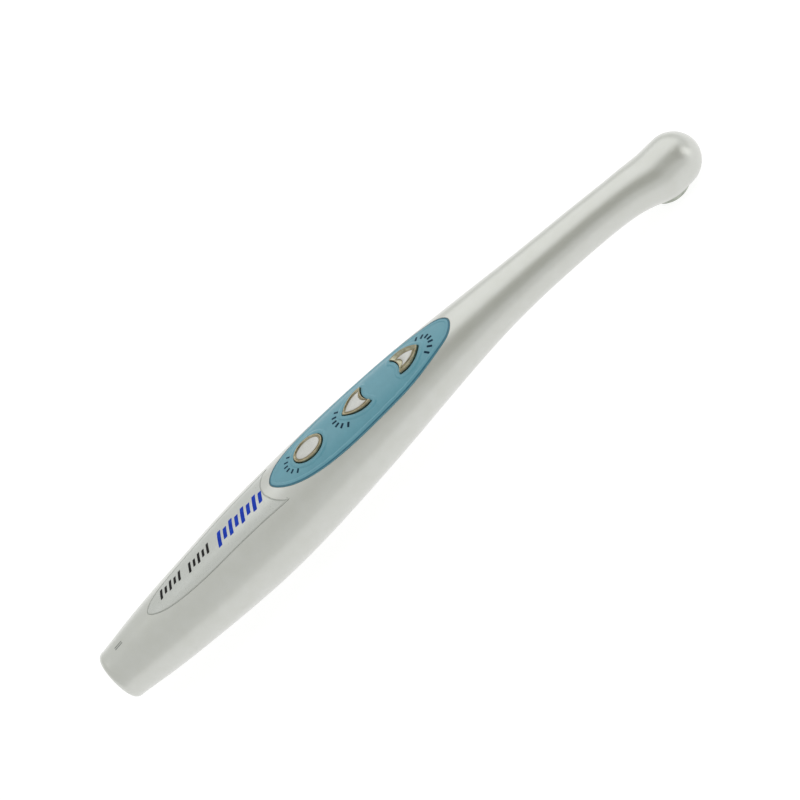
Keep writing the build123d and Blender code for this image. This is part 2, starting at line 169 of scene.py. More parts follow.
def smooth_curve(xs, ys):
    """A natural cubic curve through the points, as a function that takes an array."""
    xs, ys = np.asarray(xs, float), np.asarray(ys, float)
    count = len(xs)
    step = np.diff(xs)
    system = np.eye(count)
    right = np.zeros(count)
    for i in range(1, count - 1):
        system[i, i - 1 : i + 2] = (step[i - 1], 2 * (step[i - 1] + step[i]), step[i])
        right[i] = 3 * ((ys[i + 1] - ys[i]) / step[i] - (ys[i] - ys[i - 1]) / step[i - 1])
    bend = np.linalg.solve(system, right)
    slope = np.diff(ys) / step - step * (2 * bend[:-1] + bend[1:]) / 3
    twist = np.diff(bend) / (3 * step)

    def curve(at):
        at = np.asarray(at, float)
        i = np.clip(np.searchsorted(xs, at) - 1, 0, count - 2)
        d = at - xs[i]
        return ys[i] + slope[i] * d + bend[i] * d**2 + twist[i] * d**3

    return curve


stations = np.array(SECTIONS)
centre_of, half_height_of, half_width_of = (
    smooth_curve(stations[:, 0], stations[:, column]) for column in (1, 2, 3)
)


def floor_under_head(x, y, raised):
    """Height of the flat round the window, which curves up towards the tip."""
    window = WINDOW_AT - LENGTH / 2
    beyond = np.maximum(np.hypot(x - window, y) - RIM_RADIUS, 0)
    curve = np.sqrt(np.maximum((BOWL_RADIUS - raised) ** 2 - beyond**2, 0))
    return RIM_HEIGHT + np.where(x > window, BOWL_RADIUS - curve, raised)


def form_point(s, angle, inset=0.0):
    """A point of the body, drawn in by inset. s runs from the tail, then on over the ball."""
    ball = np.clip((s - HEAD_AT) / HEAD_RADIUS, 0, QUARTER)
    u = np.minimum(s, HEAD_AT)
    x = u + (HEAD_RADIUS - inset) * np.sin(ball) - LENGTH / 2
    y = (half_width_of(u) - inset) * np.cos(ball) * np.cos(angle)
    z = centre_of(u) + (half_height_of(u) - inset) * np.cos(ball) * np.sin(angle)
    low = floor_under_head(x, y, inset * FLOOR_INSET)
    over = z - low
    z = np.where(s > HEAD_START, low + (over + np.sqrt(over**2 + FLOOR_BLEND**2)) / 2, z)
    return np.stack([x, y, z], -1)


def form_normal(s, angle, inset=0.0):
    """The outward normal at a point of the body."""
    d = 0.02
    s = np.clip(s, CAP_LENGTH, TIP - 3 * d)
    lengthwise = form_point(s + d, angle, inset) - form_point(s - d, angle, inset)
    round_it = form_point(s, angle + d, inset) - form_point(s, angle - d, inset)
    return unit(np.cross(round_it, lengthwise))


def unit(vectors):
    """The vectors at length one."""
    return vectors / np.maximum(np.linalg.norm(vectors, axis=-1, keepdims=True), 1e-12)


def along(distance):
    """Row X of a distance from the tail end."""
    return distance - LENGTH / 2


def from_plan(points, inset, upper):
    """(s, angle) of the places of the body over or under these plan points."""
    u = points[:, 0] + LENGTH / 2
    ball = np.arcsin(np.clip((u - HEAD_AT) / (HEAD_RADIUS - inset), 0, 1))
    tube = np.minimum(u, HEAD_AT)
    half = (half_width_of(tube) - inset) * np.cos(ball)
    angle = np.arccos(np.clip(points[:, 1] / half, -1, 1))
    return np.stack([tube + HEAD_RADIUS * ball, angle if upper else TURN - angle], 1)


def roof(points, inset=0.0):
    """Height of the upper side of the body over plan points."""
    u = points[:, 0] + LENGTH / 2
    across = points[:, 1] / (half_width_of(u) - inset)
    rise = np.sqrt(np.maximum(1 - across**2, 0.01))
    return centre_of(u) + (half_height_of(u) - inset) * rise


# ---- outlines in plan: closed loops of points


def resample(points, spacing, count=None):
    """A closed outline with its points at even distances, or with a set number of them."""
    closed = np.vstack([points, points[:1]])
    run = np.concatenate([[0], np.cumsum(np.linalg.norm(np.diff(closed, axis=0), axis=1))])
    count = count or max(12, round(run[-1] / spacing))
    at = np.arange(count) * run[-1] / count
    return np.stack([np.interp(at, run, closed[:, 0]), np.interp(at, run, closed[:, 1])], 1)


def smooth_path(points, steps=160):
    """A smooth open curve through points in plan."""
    points = np.asarray(points, float)
    gaps = np.linalg.norm(np.diff(points, axis=0), axis=1)
    run = np.concatenate([[0], np.cumsum(np.sqrt(gaps))])
    at = np.linspace(0, run[-1], steps)
    return np.stack([smooth_curve(run, points[:, k])(at) for k in (0, 1)], 1)


def smooth_loop(points):
    """A smooth closed curve through points in plan: the middle one of three laps."""
    laps = smooth_path([*points, *points, *points, points[0]], 3 * LAP + 1)
    return laps[LAP : 2 * LAP]


def arc(start, middle, end, steps=24):
    """Points of the arc through three points, without its end."""
    (ax, ay), (bx, by), (cx, cy) = start, middle, end
    d = 2 * (ax * (by - cy) + bx * (cy - ay) + cx * (ay - by))
    a2, b2, c2 = ax * ax + ay * ay, bx * bx + by * by, cx * cx + cy * cy
    ox = (a2 * (by - cy) + b2 * (cy - ay) + c2 * (ay - by)) / d
    oy = (a2 * (cx - bx) + b2 * (ax - cx) + c2 * (bx - ax)) / d
    first, mid, last = (math.atan2(y - oy, x - ox) for x, y in (start, middle, end))
    sweep = (last - first) % TURN
    if (mid - first) % TURN > sweep:
        sweep -= TURN
    turn = first + sweep * np.arange(steps) / steps
    radius = math.hypot(ax - ox, ay - oy)
    return np.stack([ox + radius * np.cos(turn), oy + radius * np.sin(turn)], 1)


def soften(points, radius, spacing=0.05):
    """A closed outline with its corners rounded."""
    fine = resample(points, spacing)
    reach = max(1, round(radius / spacing))
    weights = np.hanning(2 * reach + 3)[1:-1]
    weights /= weights.sum()
    return sum(w * np.roll(fine, k - reach, 0) for k, w in enumerate(weights))


def outward(loop):
    """Outward directions of a closed outline."""
    tangent = np.roll(loop, -1, 0) - np.roll(loop, 1, 0)
    x, y = loop[:, 0], loop[:, 1]
    area = np.sum(x * np.roll(y, -1) - y * np.roll(x, -1))
    return unit(np.stack([tangent[:, 1], -tangent[:, 0]], 1)) * np.sign(area)


def shifted(loop, distance):
    """A closed outline moved outwards by a small distance, or inwards if it is negative."""
    return loop + outward(loop) * distance


def panel_outline():
    """The control panel in plan: a leaf, blunt at the tail and pointed at the head."""
    near = [(along(x), -y) for x, y in PANEL_HALF]
    far = [(x, -y) for x, y in reversed(near[1:-1])]
    return resample(smooth_loop(near + far), 0.35)


def film_outline():
    """The label film in plan, hollowed out at the front beside the panel."""
    half = [(along(x), y) for x, y in FILM_HALF]
    edge = smooth_path([(x, -y) for x, y in reversed(half)] + half[1:])
    front = arc(edge[-1], (along(FILM_FRONT), 0), edge[0])
    return resample(soften(np.vstack([edge[:-1], front]), 0.4), 0.35)


def oval_outline(grow):
    """The power button in plan, made larger all round by grow."""
    turn = np.arange(BUTTON_POINTS) * TURN / BUTTON_POINTS
    x = along(POWER_AT) + (POWER_SIZE[0] + grow) * np.cos(turn)
    return np.stack([x, (POWER_SIZE[1] + grow) * np.sin(turn)], 1)


def ogive_outline(tip, way, grow):
    """A pointed arch with a hollow foot; way is +1 where the foot looks to the head."""
    foot = tip + way * (OGIVE_LENGTH + grow)
    point = (along(tip - way * 1.25 * grow), 0)
    low, high = ((along(foot), side * (OGIVE_HALF + grow)) for side in (-1, 1))
    low_waist, high_waist = (
        (along(tip + way * OGIVE_WAIST[0]), side * (OGIVE_WAIST[1] + grow)) for side in (-1, 1)
    )
    hollow = (along(foot - way * OGIVE_NOTCH), 0)
    arcs = [arc(point, low_waist, low), arc(low, hollow, high), arc(high, high_waist, point)]
    return resample(soften(np.vstack(arcs), 0.3), 0, BUTTON_POINTS)


def button_outline(name, grow=0.0):
    """The outline of one of the three buttons."""
    if name == "power":
        return oval_outline(grow)
    if name == "mirror":
        return ogive_outline(MIRROR_TIP, 1, grow)
    return ogive_outline(CAPTURE_TIP, -1, grow)


def inside(points, loop):
    """Which points lie inside a closed outline."""
    x, y = points[:, 0], points[:, 1]
    hit = np.zeros(len(points), bool)
    for (ax, ay), (bx, by) in zip(loop, np.roll(loop, -1, 0)):
        if ay != by:
            hit ^= ((ay > y) != (by > y)) & (x < ax + (y - ay) * (bx - ax) / (by - ay))
    return hit


def edge_distance(points, loop):
    """Distance from each point to the nearest point of an outline."""
    near = np.empty(len(points))
    for start in range(0, len(points), 4000):
        part = points[start : start + 4000]
        gap = np.hypot(part[:, :1] - loop[:, 0], part[:, 1:] - loop[:, 1])
        near[start : start + 4000] = gap.min(1)
    return near


# ---- meshes from surface patches


def fill(outer, holes, spacing):
    """Triangles of the flat area inside one outline and outside the others."""
    rim = np.vstack([outer, *holes])
    low, high = outer.min(0), outer.max(0)
    rows = np.arange(low[1], high[1], spacing * 0.866)
    columns = np.arange(low[0], high[0], spacing)
    x, y = np.meshgrid(columns, rows)
    x = x + np.where(np.arange(len(rows)) % 2, spacing / 2, 0)[:, None]
    grid = np.stack([x.ravel(), y.ravel()], 1)
    keep = inside(grid, outer)
    for hole in holes:
        keep &= ~inside(grid, hole)
    grid = grid[keep]
    grid = grid[edge_distance(grid, rim) > 0.5 * spacing]
    points = np.vstack([rim, grid])
    edges = []
    base = 0
    for loop in (outer, *holes):
        count = len(loop)
        edges += [(base + i, base + (i + 1) % count) for i in range(count)]
        base += count
    flat = [Vector(p) for p in points]
    _, _, faces, origin, _, _ = geometry.delaunay_2d_cdt(flat, edges, [], 0, 1e-6)
    source = np.array([o[0] if o else -1 for o in origin])
    faces = source[np.array(faces)]
    middle = points[faces].mean(1)
    keep = inside(middle, outer) & (faces >= 0).all(1)
    for hole in holes:
        keep &= ~inside(middle, hole)
    return points, faces[keep]


class Solid:
    """Patches of surface, welded into one closed mesh whose corners keep their own normals."""

    def __init__(self):
        self.points, self.faces, self.normals, self.kinds = [], [], [], []
        self.count = 0
        self.kind = 0

    def add(self, points, faces, normals):
        corner = points[faces]
        facing = np.cross(corner[:, 1] - corner[:, 0], corner[:, 2] - corner[:, 0])
        wrong = np.sum(facing * normals[faces].mean(1), 1) < 0
        faces = np.where(wrong[:, None], faces[:, ::-1], faces)
        self.points.append(points)
        self.faces.append(faces + self.count)
        self.normals.append(normals)
        self.kinds.append(np.full(len(faces), self.kind))
        self.count += len(points)

    def band(self, loops, side, first=None):
        """A strip through closed loops of equal length; side tells which way it faces."""
        strips = []
        for low, high in zip(loops, loops[1:]):
            ring = np.roll(low, -1, 0) - np.roll(low, 1, 0) + np.roll(high, -1, 0) - np.roll(high, 1, 0)
            strips.append(unit(np.cross(ring, high - low)))
        sign = np.sign(np.sum(strips[0] * side))
        normals = [strips[0], *(a + b for a, b in zip(strips, strips[1:])), strips[-1]]
        normals = [unit(sign * n) for n in normals]
        if first is not None:
            normals[0] = first
        count = len(loops[0])
        here = np.arange(count)
        ahead = (here + 1) % count
        faces = []
        for k in range(len(loops) - 1):
            low, high = k * count, (k + 1) * count
            faces.append(np.stack([low + here, low + ahead, high + ahead], 1))
            faces.append(np.stack([low + here, high + ahead, high + here], 1))
        self.add(np.vstack(loops), np.vstack(faces), np.vstack(normals))

    def plate(self, outer, holes, top, bottom, rounding=0.1, spacing=0.5, steps=4):
        """A closed plate between two height functions, with its upper edges rounded."""
        rims = []
        for loop, way in [(outer, -1)] + [(hole, 1) for hole in holes]:
            loops = []
            for turn in np.linspace(0, QUARTER, steps + 1):
                edge = shifted(loop, way * rounding * (1 - math.sin(turn)))
                drop = rounding * (1 - math.cos(turn))
                loops.append(np.column_stack([edge, top(edge) - drop]))
            loops.append(np.column_stack([loop, bottom(loop)]))
            side = np.column_stack([-way * outward(loop), np.zeros(len(loop))])
            self.band(loops, side, surface_normals(top, loops[0][:, :2]))
            rims.append(loops[0][:, :2])
        for surface, sign, edges in ((top, 1, rims), (bottom, -1, [outer, *holes])):
            points, faces = fill(edges[0], edges[1:], spacing)
            self.add(lift(points, surface), faces, sign * surface_normals(surface, points))

    def object(self, name, *materials):
        points = np.vstack(self.points)
        faces = np.vstack(self.faces)
        normals = np.vstack(self.normals)[faces]
        cell = np.round((points + 0.0000377) / 2e-4).astype(np.int64)
        _, first, back = np.unique(cell, axis=0, return_index=True, return_inverse=True)
        faces = back.reshape(-1)[faces]
        a, b, c = faces.T
        good = (a != b) & (b != c) & (a != c)
        faces, normals, kinds = faces[good], normals[good], np.concatenate(self.kinds)[good]
        used, faces = np.unique(faces, return_inverse=True)
        faces = faces.reshape(-1, 3)
        mesh = bpy.data.meshes.new(name)
        mesh.from_pydata((points[first[used]] * MM).tolist(), [], faces.tolist())
        mesh.shade_smooth()
        mesh.polygons.foreach_set("material_index", kinds)
        mesh.normals_split_custom_set(normals.reshape(-1, 3).tolist())
        return piece_of(name, mesh, *materials)


def piece_of(name, mesh, *materials):
    """A new object of the scene with this mesh."""
    for finish_ in materials:
        mesh.materials.append(finish_)
    piece = bpy.data.objects.new(name, mesh)
    bpy.context.scene.collection.objects.link(piece)
    return piece


def lift(points, surface):
    """Plan points raised to a surface."""
    return np.column_stack([points[:, :2], surface(points)])


def surface_normals(surface, points):
    """Upward normals of a height function."""
    d = 0.01
    step_x, step_y = np.array([d, 0]), np.array([0, d])
    rise_x = (surface(points + step_x) - surface(points - step_x)) / (2 * d)
    rise_y = (surface(points + step_y) - surface(points - step_y)) / (2 * d)
    return unit(np.stack([-rise_x, -rise_y, np.ones(len(points))], 1))


def shown(piece, body, slot, *nodes):
    """The piece rides on its body and stands for CAD nodes, which it hides. The slot is not used."""
    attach(piece, body)
    if nodes:
        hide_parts(*nodes)
    return piece


def lathe(profile, centre, axis, segments=96):
    """(points, faces) of a closed profile of (along the axis, radius), turned round the axis."""
    profile = np.asarray(profile, float)
    turn = np.arange(segments) * TURN / segments
    out = profile[:, 1][:, None]
    length = np.broadcast_to(profile[:, 0][:, None], (len(profile), segments))
    p, q = out * np.cos(turn), out * np.sin(turn)
    parts = (length, p, q) if axis == "X" else (p, q, length)
    points = np.stack(parts, -1).reshape(-1, 3) + np.array(centre)
    faces = []
    for i in range(len(profile)):
        j = (i + 1) % len(profile)
        for k in range(segments):
            m = (k + 1) % segments
            faces.append((i * segments + k, i * segments + m, j * segments + m, j * segments + k))
    return points, faces


def turned(name, profile, centre, axis, material, segments=96):
    """A lathe-turned piece with crisp corners and its faces turned outwards."""
    points, faces = lathe(profile, centre, axis, segments)
    mesh = bpy.data.meshes.new(name)
    mesh.from_pydata((points * MM).tolist(), [], faces)
    mesh.validate()
    mesh.shade_smooth()
    work = bmesh.new()
    work.from_mesh(mesh)
    bmesh.ops.recalc_face_normals(work, faces=work.faces)
    work.to_mesh(mesh)
    work.free()
    mesh.set_sharp_from_angle(angle=math.radians(32))
    return piece_of(name, mesh, material)


def bow(centre, radius, start, end, steps=8):
    """Points of a profile arc, angles in degrees."""
    turn = np.radians(np.linspace(start, end, steps + 1))
    return [(centre[0] + radius * math.cos(t), centre[1] + radius * math.sin(t)) for t in turn]


# ---- materials


def material(name):
    """A new material with its node tree, shader and texture coordinates."""
    new = bpy.data.materials.new(name)
    new.use_nodes = True
    tree = new.node_tree
    shader = tree.nodes["Principled BSDF"]
    place = tree.nodes.new("ShaderNodeTexCoord")
    return new, tree, shader, place.outputs["Object"]


def noise(tree, place, scale, detail=4.0, roughness=0.55):
    """Noise with about this many features in a metre."""
    node = tree.nodes.new("ShaderNodeTexNoise")
    node.inputs["Scale"].default_value = scale
    node.inputs["Detail"].default_value = detail
    node.inputs["Roughness"].default_value = roughness
    tree.links.new(place, node.inputs["Vector"])
    return node.outputs["Fac"]


def spread(tree, value, low, high, out_low, out_high):
    """The value mapped from one range to another."""
    node = tree.nodes.new("ShaderNodeMapRange")
    for key, number in zip(("From Min", "From Max", "To Min", "To Max"), (low, high, out_low, out_high)):
        node.inputs[key].default_value = number
    tree.links.new(value, node.inputs["Value"])
    return node.outputs["Result"]


def two_colours(tree, factor, first, second):
    """A colour between two, chosen by the factor."""
    node = tree.nodes.new("ShaderNodeMix")
    node.data_type = "RGBA"
    node.inputs["A"].default_value = (*first, 1)
    node.inputs["B"].default_value = (*second, 1)
    tree.links.new(factor, node.inputs["Factor"])
    return node.outputs["Result"]


def bump(tree, shader, height, strength, distance):
    """Fine relief on the shader's surface."""
    node = tree.nodes.new("ShaderNodeBump")
    node.inputs["Strength"].default_value = strength
    node.inputs["Distance"].default_value = distance
    tree.links.new(height, node.inputs["Height"])
    tree.links.new(node.outputs["Normal"], shader.inputs["Normal"])


def linear(colour):
    """A screen colour of 0 to 255 as the linear colour of the shaders."""
    share = [c / 255 for c in colour]
    return tuple(c / 12.92 if c <= 0.04045 else ((c + 0.055) / 1.055) ** 2.4 for c in share)


def finish(name, light, dark, rough, blotch=900, grain=9000, relief=0.0, **sockets):
    """A moulded, plated or painted finish: two shades, uneven gloss and a fine grain."""
    new, tree, shader, place = material(name)
    clouds = noise(tree, place, blotch)
    tone = spread(tree, clouds, 0.35, 0.65, 0.0, 1.0)
    tree.links.new(two_colours(tree, tone, linear(dark), linear(light)), shader.inputs["Base Color"])
    fine = noise(tree, place, grain, 2.0)
    tree.links.new(spread(tree, fine, 0.3, 0.7, *rough), shader.inputs["Roughness"])
    if relief:
        bump(tree, shader, fine, 0.35, relief * MM)
    for key, value in sockets.items():
        shader.inputs[key.replace("_", " ")].default_value = value
    return new


# ---- the body's two shells and the tail


def shell_edge(upper, inset):
    """(s, angle) of a shell's edge: along one side to the tip, back along the other, round the tail."""
    s = np.linspace(CAP_LENGTH, TIP, 300)
    tube = np.minimum(s, HEAD_AT)
    share = np.clip((PARTING_END - s) / (PARTING_END - HEAD_START), 0, 1)
    drop = PARTING_DROP * share**2 * (3 - 2 * share)
    below = np.arcsin(drop / (half_height_of(tube) - inset))
    left, right = (-below, math.pi + below) if upper else (TURN - below, math.pi + below)
    tail = np.linspace(right[0], left[0], 40)[1:-1]
    sides = [np.stack([s, left], 1), np.stack([s, right], 1)[-2::-1]]
    return np.vstack([*sides, np.stack([np.full(len(tail), CAP_LENGTH), tail], 1)])


def unrolled(places, middle):
    """(s, angle) laid flat, with the distances round the body kept."""
    s, angle = places.T
    return np.stack([s, (angle - middle) * girth(s)], 1)


def girth(s):
    """Mean radius of the body's section."""
    tube = np.minimum(s, HEAD_AT)
    ball = np.clip((s - HEAD_AT) / HEAD_RADIUS, 0, QUARTER)
    return (half_height_of(tube) + half_width_of(tube)) / 2 * np.cos(ball)


def shell_patch(solid, upper, inset, holes, spacing):
    """The outer or inner surface of a shell, with holes whose outlines are given in plan."""
    middle = QUARTER if upper else 3 * QUARTER
    edge = unrolled(shell_edge(upper, inset), middle)
    flat_holes = [unrolled(from_plan(hole, inset, upper), middle) for hole in holes]
    flat, faces = fill(edge, flat_holes, spacing)
    angle = middle + flat[:, 1] / np.maximum(girth(flat[:, 0]), 1e-9)
    sign = -1 if inset else 1
    solid.add(
        form_point(flat[:, 0], angle, inset), faces, sign * form_normal(flat[:, 0], angle, inset)
    )


def circle(distance, radius, steps=48):
    """A round outline in plan."""
    turn = np.arange(steps) * TURN / steps
    return np.stack([along(distance) + radius * np.cos(turn), radius * np.sin(turn)], 1)


def level(height):
    """A flat surface at one height."""
    return lambda points: np.full(len(points), float(height))


def under_roof(inset):
    """The upper side of the body, drawn in by inset."""
    return lambda points: roof(points, inset)


def belly(inset):
    """The lower side of the body."""

    def surface(points):
        centre = centre_of(points[:, 0] + LENGTH / 2)
        return 2 * centre - roof(points, inset)

    return surface


def shell_rim(solid, upper):
    """The edge where the two shells meet, and the shell's end at the tail cap."""
    loops = [form_point(*shell_edge(upper, inset).T, inset) for inset in (0, WALL)]
    down = np.array([0, 0, -1.0 if upper else 1.0])
    solid.band(loops, down)


def make_upper_shell(paint):
    """The upper shell with the pockets of the panel and the film, and its screw posts."""
    solid = Solid()
    film_screw, *panel_screws = (circle(at, SCREW_BORE) for at in SHELL_SCREWS)
    panel_holes = [button_outline(b[0], BUTTON_GAP) for b in BUTTONS] + panel_screws
    pockets = [
        (panel_outline(), PANEL_LIP, PANEL_DEPTH, panel_holes),
        (film_outline(), FILM_LIP, FILM_DEPTH, [film_screw]),
    ]
    shell_patch(solid, True, 0, [shifted(outline, lip) for outline, lip, _, _ in pockets], 0.75)
    for outline, lip, depth, holes in pockets:
        loops = []
        for turn in np.linspace(0, QUARTER, 5):
            edge = shifted(outline, lip * (1 - math.sin(turn)))
            loops.append(lift(edge, under_roof(lip * (1 - math.cos(turn)))))
        loops.append(lift(outline, under_roof(depth)))
        side = np.column_stack([-outward(outline), np.zeros(len(outline))])
        top = form_normal(*from_plan(loops[0], 0, True).T)
        solid.band(loops, side, top)
        points, faces = fill(outline, holes, 0.9)
        floor = under_roof(depth)
        solid.add(lift(points, floor), faces, surface_normals(floor, points))
        for hole in holes:
            side = np.column_stack([-outward(hole), np.zeros(len(hole))])
            solid.band([lift(hole, floor), lift(hole, under_roof(WALL))], side)
    shell_patch(solid, True, WALL, [*panel_holes, film_screw], 1.6)
    shell_rim(solid, True)
    for at in SHELL_SCREWS:
        seat = roof(np.array([[along(at), 0.0]]))[0] - SEAT_DEPTH
        post, bore, hole = (circle(at, radius) for radius in (UPPER_POST, SCREW_BORE, SHANK_HOLE))
        solid.plate(post, [bore], under_roof(WALL - POST_OVERLAP), level(seat), 0.02, 1.0, 1)
        solid.plate(post, [hole], level(seat), level(BOARD_TOP), 0.02, 1.0, 1)
    return shown(solid.object("upper_shell_skin", paint), "housing", "pearl_shell", "upper_shell")


def make_lower_shell(paint):
    """The lower shell with the hole of the window, and the posts that carry the board."""
    solid = Solid()
    window = circle(WINDOW_AT, WINDOW_HOLE, 80)
    shell_patch(solid, False, 0, [window], 0.7)
    shell_patch(solid, False, WALL, [window], 1.4)
    loops = [form_point(*from_plan(window, inset, False).T, inset) for inset in (0, WALL)]
    solid.band(loops, np.column_stack([-outward(window), np.zeros(len(window))]))
    shell_rim(solid, False)
    posts = [(at, LOWER_POST) for at in SHELL_SCREWS] + [(at, BOARD_POST) for at in BOARD_SCREWS]
    for at, radius in posts:
        hole = circle(at, THREAD_HOLE, 32)
        foot = belly(WALL - POST_OVERLAP)
        solid.plate(circle(at, radius), [hole], level(BOARD_BOTTOM), foot, 0.1, 1.0, 2)
    return shown(solid.object("lower_shell_skin", paint), "housing", "pearl_shell", "lower_shell")


def make_tail_cap(paint):
    """The end cap: rounded outside, with the recess of the socket and a spigot into the body."""
    centre = (along(0), 0, AXIS_HEIGHT)
    lip = SOCKET_RADIUS + SOCKET_EDGE
    profile = [(CAP_LENGTH, 7.8), *bow((TAIL_ROUNDING, lip), TAIL_ROUNDING, 84, 180, 14)]
    profile += bow((SOCKET_EDGE, lip), SOCKET_EDGE, 180, 270, 5)[1:]
    profile += [(CAP_LENGTH, SOCKET_RADIUS), (CAP_LENGTH, SHIELD_RADIUS), (SPIGOT_END, SHIELD_RADIUS)]
    profile += [(SPIGOT_END, SPIGOT_RADIUS), (CAP_LENGTH, SPIGOT_RADIUS)]
    cap = turned("tail_cap_skin", profile, centre, "X", paint, 128)
    return shown(cap, "housing", "pearl_shell", "tail_cap")


# ---- panel, film and buttons


def smooth_step(value, low, high):
    """0 below low, 1 above high, and a smooth rise between."""
    share = np.clip((value - low) / (high - low), 0, 1)
    return share * share * (3 - 2 * share)


def panel_top(points):
    """The panel's face: a rounded border, a sunk field, and a pad round each button."""
    edge = edge_distance(points, fine_panel)
    pads = np.min([edge_distance(points, loop) for loop in fine_buttons], axis=0)
    field = smooth_step(edge, *BORDER_STEP) * smooth_step(pads, *PAD_STEP)
    moat = 1 - smooth_step(np.abs(pads - BUTTON_GAP), *MOAT_STEP)
    return roof(points) - FIELD_DROP * field - MOAT_DROP * moat


def make_panel(blue):
    """The inlaid control panel with an opening for each button."""
    solid = Solid()
    outer = shifted(panel_outline(), -PANEL_GAP)
    holes = [button_outline(b[0], BUTTON_GAP) for b in BUTTONS]
    solid.plate(outer, holes, panel_top, under_roof(PANEL_DEPTH - 0.02), 0.2, 0.3, 4)
    return shown(solid.object("control_panel_skin", blue), "housing", "panel_blue", "control_panel")


def make_film(film):
    """The thin film that carries the printed marks."""
    solid = Solid()
    outer = shifted(film_outline(), -FILM_GAP)
    solid.plate(outer, [], under_roof(FILM_SUNK), under_roof(FILM_DEPTH - 0.01), 0.06, 0.8, 3)
    return shown(solid.object("label_film_skin", film), "housing", "film", "label_film")


def button_ring(solid, name, steps, side):
    """A band round a button through (growth, height) steps; side is (outwards, upwards)."""
    loops = []
    for grow, height in steps:
        loop = button_outline(name, grow)
        loops.append(lift(loop, level(height)))
    out = outward(loops[0][:, :2])
    solid.band(loops, np.column_stack([side[0] * out, np.full(len(out), float(side[1]))]))


def make_button(name, at, proud, flange_top, plated, slope_painted_reflection, pearl):
    """A plated frame whose inner side slopes down to the pearl cap set into it."""
    rim, slope, depth = BUTTON_SHAPES[name]
    top = roof(np.array([[along(at), 0.0]]))[0] + proud
    seat = top - depth
    inner = -rim - slope
    bead = inner + BEAD_WIDTH
    flange_low = flange_top - FLANGE_THICK
    edge = [
        (RIM_ROUNDING * (math.sin(t) - 1), top + RIM_ROUNDING * (math.cos(t) - 1))
        for t in (QUARTER, 1.1, 0.7, 0.3, 0)
    ]
    solid = Solid()
    button_ring(solid, name, [(0, flange_top), *edge, (0.04 - rim, top), (-rim, top - 0.04)], (1, 0))
    # The sloping inner wall takes the lighter, glossier plated copy: painted reflection on the same
    # plated frame.
    solid.kind = 1
    button_ring(solid, name, [(-rim, top - 0.04), (bead, seat)], (-0.3, 1))
    solid.kind = 0
    crown = [(inner + share * BEAD_WIDTH, seat + BEAD_HEIGHT) for share in (0.7, 0.3)]
    button_ring(solid, name, [(bead, seat), *crown, (inner, seat)], (0, 1))
    button_ring(solid, name, [(inner, seat), (inner, flange_top)], (-1, 0))
    button_ring(solid, name, [(inner, flange_top), (0, flange_top)], (0, -1))
    flange = button_outline(name, FLANGE_REACH)
    solid.plate(flange, [], level(flange_top), level(flange_low), 0.05, 0.8, 1)
    solid.plate(circle(at, STEM_RADIUS), [], level(flange_low), level(PLUNGER_TOP), 0.05, 0.8, 1)
    frame_piece = solid.object(f"{name}_frame_skin", plated, slope_painted_reflection)
    shown(frame_piece, f"{name}_key", "plated_rim", f"{name}_button_frame")
    loop = button_outline(name, inner - 0.03)

    def dome(points):
        return seat + 0.02 + CAP_CROWN * (1 - np.exp(-edge_distance(points, loop) / 0.6))

    cap = Solid()
    cap.plate(loop, [], dome, level(flange_top), 0.1, 0.25, 3)
    shown(cap.object(f"{name}_cap_skin", pearl), f"{name}_key", "pearl_cap", f"{name}_button_cap")


# ---- printed marks and a line of painted shade: thin layers of colour that lie on the surface


def thin_layer(name, shapes, surface, material_, slot):
    """A thin layer of colour made of closed shapes in plan, for print or for a line of painted shade; a
    pair is an outline and its hole.
    """

    def top(points):
        return surface(points) + 0.02

    def bottom(points):
        return surface(points) - 0.05

    solid = Solid()
    for shape in shapes:
        outer, *holes = shape if isinstance(shape, tuple) else (shape,)
        solid.plate(outer, holes, top, bottom, 0.005, 0.5, 1)
    return shown(solid.object(name, material_), "housing", slot)


def stroke(distance, y, length, width, turn, lean=0.0):
    """A bar with rounded corners; turn is its direction in degrees from the Y axis."""
    half, side = length / 2, width / 2
    corners = np.array([(-side, -half), (side, -half), (side, half), (-side, half)], float)
    corners[:, 0] += lean * corners[:, 1]
    t = math.radians(turn)
    spin = np.array([[math.cos(t), -math.sin(t)], [math.sin(t), math.cos(t)]])
    bar = resample(soften(corners, min(side, half) * 0.5), 0.12)
    return bar @ spin.T + (along(distance), y)


def row_of_bars(start, y, count, pitch, lengths, width, lean):
    """Slanted bars in a row; every other one is shorter, and lengths holds length and cut."""
    length, cut = lengths
    return [
        stroke(start + pitch * k, y, length - cut * (k % 2), width, 0, lean) for k in range(count)
    ]


def arc_of_ticks(centre, y, radius, start, end, count, size):
    """Radial ticks on an oval arc; angles in degrees from the +X axis, size is (width, length)."""
    ticks = []
    for turn in np.linspace(start, end, count):
        t = math.radians(turn)
        place = (centre + radius[0] * math.cos(t), y + radius[1] * math.sin(t))
        ticks.append(stroke(*place, size[1], size[0], turn - 90))
    return ticks


# ---- window in the head


def make_window(rim):
    """The rim of the window, with the seat of its glass."""
    centre = (along(WINDOW_AT), 0, 0)
    shoulder = 1.5
    profile = [(shoulder, RIM_RADIUS), *bow((RIM_EDGE, RIM_RADIUS - RIM_EDGE), RIM_EDGE, 90, 180)]
    profile += [(0.0, GLASS_RADIUS + 0.15), (0.12, GLASS_RADIUS), (GLASS_SEAT, GLASS_RADIUS)]
    profile += [(GLASS_SEAT, LEDGE_RADIUS), (RIM_TOP, LEDGE_RADIUS)]
    profile += [(RIM_TOP, WINDOW_HOLE), (shoulder, WINDOW_HOLE)]
    bezel = turned("window_bezel_skin", profile, centre, "Z", rim, 128)
    return shown(bezel, "housing", "rim_metal", "window_bezel")


# ---- make the pieces

